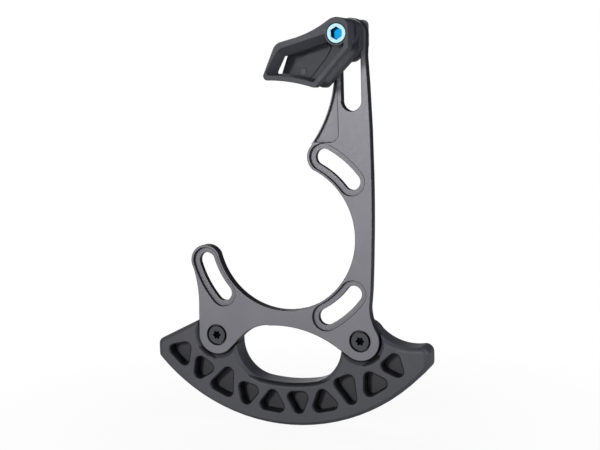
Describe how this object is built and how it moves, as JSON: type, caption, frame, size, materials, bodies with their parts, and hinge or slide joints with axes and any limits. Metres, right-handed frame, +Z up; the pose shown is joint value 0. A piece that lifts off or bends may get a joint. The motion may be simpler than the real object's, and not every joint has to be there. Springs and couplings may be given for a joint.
{
  "type": "bicycle chain guide",
  "caption": "Slim metal backplate with a tall slotted arm and arc-shaped mounting slots, a curved bash guard with blind pockets below, and a plastic chain cage that slides along the arm.",
  "frame": {"origin": "on the bottom bracket axis, at the plate's rear face, where it meets the frame's tabs", "axes": "+Z up along the arm, +X towards the front of the bicycle, +Y along the bottom bracket axis towards the frame; the chain side faces -Y"},
  "size_m": [0.1096, 0.0249, 0.1527],
  "materials": {
    "plate_metal": "satin anodised",
    "guard_plastic": "matte",
    "cage_plastic": "matte",
    "bolt_steel": "satin",
    "insert_brass": "satin",
    "blue_metal": "gloss anodised",
    "nut_metal": "satin"
  },
  "bodies": {
    "plate": {"backplate": "plate_metal", "bash_guard": "guard_plastic", "bash_bolt_left": "bolt_steel", "bash_bolt_right": "bolt_steel", "bash_insert_left": "insert_brass", "bash_insert_right": "insert_brass"},
    "cage": {"outer_cage": "cage_plastic", "inner_cage": "cage_plastic", "cage_bolt": "blue_metal", "slider_nut": "nut_metal"}
  },
  "joints": [
    {"name": "cage_slide", "type": "slide", "parent": "plate", "child": "cage", "axis": [0, 0, 1], "range_m": [-0.0175, 0]}
  ]
}
